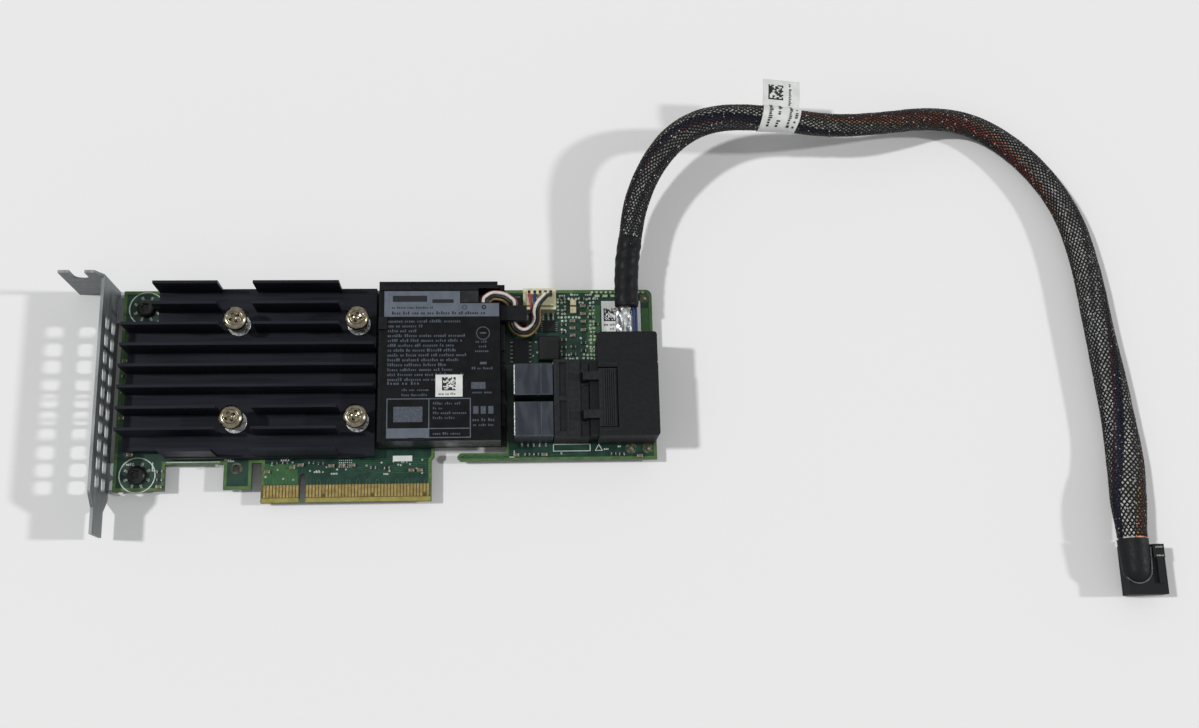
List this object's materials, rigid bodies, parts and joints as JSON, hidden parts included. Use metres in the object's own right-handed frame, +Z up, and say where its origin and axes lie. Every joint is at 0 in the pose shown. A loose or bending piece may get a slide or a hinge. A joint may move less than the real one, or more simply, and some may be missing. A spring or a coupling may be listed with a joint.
{
  "type": "raid controller card",
  "caption": "Low-profile drive controller card with a finned heat sink, a backup battery on a tray, two cable ports and a braided cable assembly plugged in",
  "frame": {"origin": "middle of the card and bracket footprint, on the table the card lies on, cable not counted", "axes": "+X along the board from the bracket to the port end, +Y across the board from the gold contacts to the far edge, +Z up from the board's component face"},
  "size_m": [0.3422, 0.1689, 0.0244],
  "materials": {
    "board": "solder resist over glass fibre laminate, satin",
    "gold": "hard gold plating",
    "bracket": "zinc plated sheet, dull",
    "black_screw": "black oxide",
    "black_anodised": "black anodised",
    "nickel": "nickel plated steel",
    "bright_steel": "bright steel",
    "chip": "moulded epoxy, fine matt",
    "pad": "soft grey thermal pad",
    "tray_plastic": "black moulding, fine texture",
    "pack_plastic": "black moulding",
    "label_dark": "printed film, near black, satin",
    "label_print": "printed blue grey, satin",
    "label_white": "white label, satin",
    "cream_plastic": "cream nylon",
    "tin": "tinned",
    "red_wire": "wire insulation",
    "blue_wire": "wire insulation",
    "yellow_wire": "wire insulation",
    "white_wire": "wire insulation",
    "black_wire": "wire insulation",
    "ferrite": "dark ferrite",
    "ceramic_tan": "sintered ceramic",
    "ceramic_dark": "coated ceramic",
    "cage_metal": "dark nickel plated sheet",
    "port_plastic": "black glass filled moulding",
    "plug_plastic": "black moulding, fine texture",
    "foil": "foil wrapped pairs",
    "sleeve_rubber": "shrunk sleeve, satin",
    "braid_fabric": "open woven sleeving over coloured wires",
    "silk": "white print",
    "lens": "clear resin lamp"
  },
  "bodies": {
    "card": {"circuit_board": "board", "edge_contacts": "gold", "bracket": "bracket", "bracket_screws": "black_screw", "controller_chip": "chip", "thermal_pad": "pad", "heatsink": "black_anodised", "heatsink_washers": "bright_steel", "heatsink_screws": "nickel", "heatsink_springs": "bright_steel", "heatsink_nuts": "bright_steel", "memory_chips": "chip", "battery_tray": "tray_plastic", "battery_pack": "pack_plastic", "battery_label": "label_dark", "battery_label_print": "label_print", "battery_sticker": "label_white", "battery_header": "cream_plastic", "battery_plug": "cream_plastic", "header_pins": "tin", "lead_clip": "tray_plastic", "battery_lead_red": "red_wire", "battery_lead_blue": "blue_wire", "battery_lead_yellow": "yellow_wire", "battery_lead_white": "white_wire", "battery_lead_black": "black_wire", "power_inductor": "ferrite", "power_chip": "chip", "charger_chip": "chip", "chip_leads": "tin", "film_capacitors": "cream_plastic", "resistors": "ceramic_dark", "capacitors": "ceramic_tan", "end_caps": "tin", "port_cages": "cage_metal", "port_cores": "port_plastic", "port_housing": "port_plastic", "port_pegs": "bright_steel", "plug_noses": "plug_plastic", "plug_body": "plug_plastic", "plug_cap": "plug_plastic", "cable_ribbons": "foil", "side_wires": "blue_wire", "cable_sleeve": "sleeve_rubber", "cable_braid": "braid_fabric", "cable_label": "label_white", "far_plug_body": "plug_plastic", "far_plug_nose": "port_plastic", "far_plug_latch": "bright_steel", "board_pads": "tin", "board_print": "silk", "board_label": "label_white", "strip_sticker": "label_white", "indicator_lights": "lens"},
    "latch": {"plug_latch": "plug_plastic"}
  },
  "joints": [
    {"name": "latch_rock", "type": "hinge", "parent": "card", "child": "latch", "pos_m": [0.07328, -0.0003, 0.0174], "axis": [0, 1, 0], "range_deg": [0, 4], "stiffness_Nm_per_rad": 0.5}
  ]
}
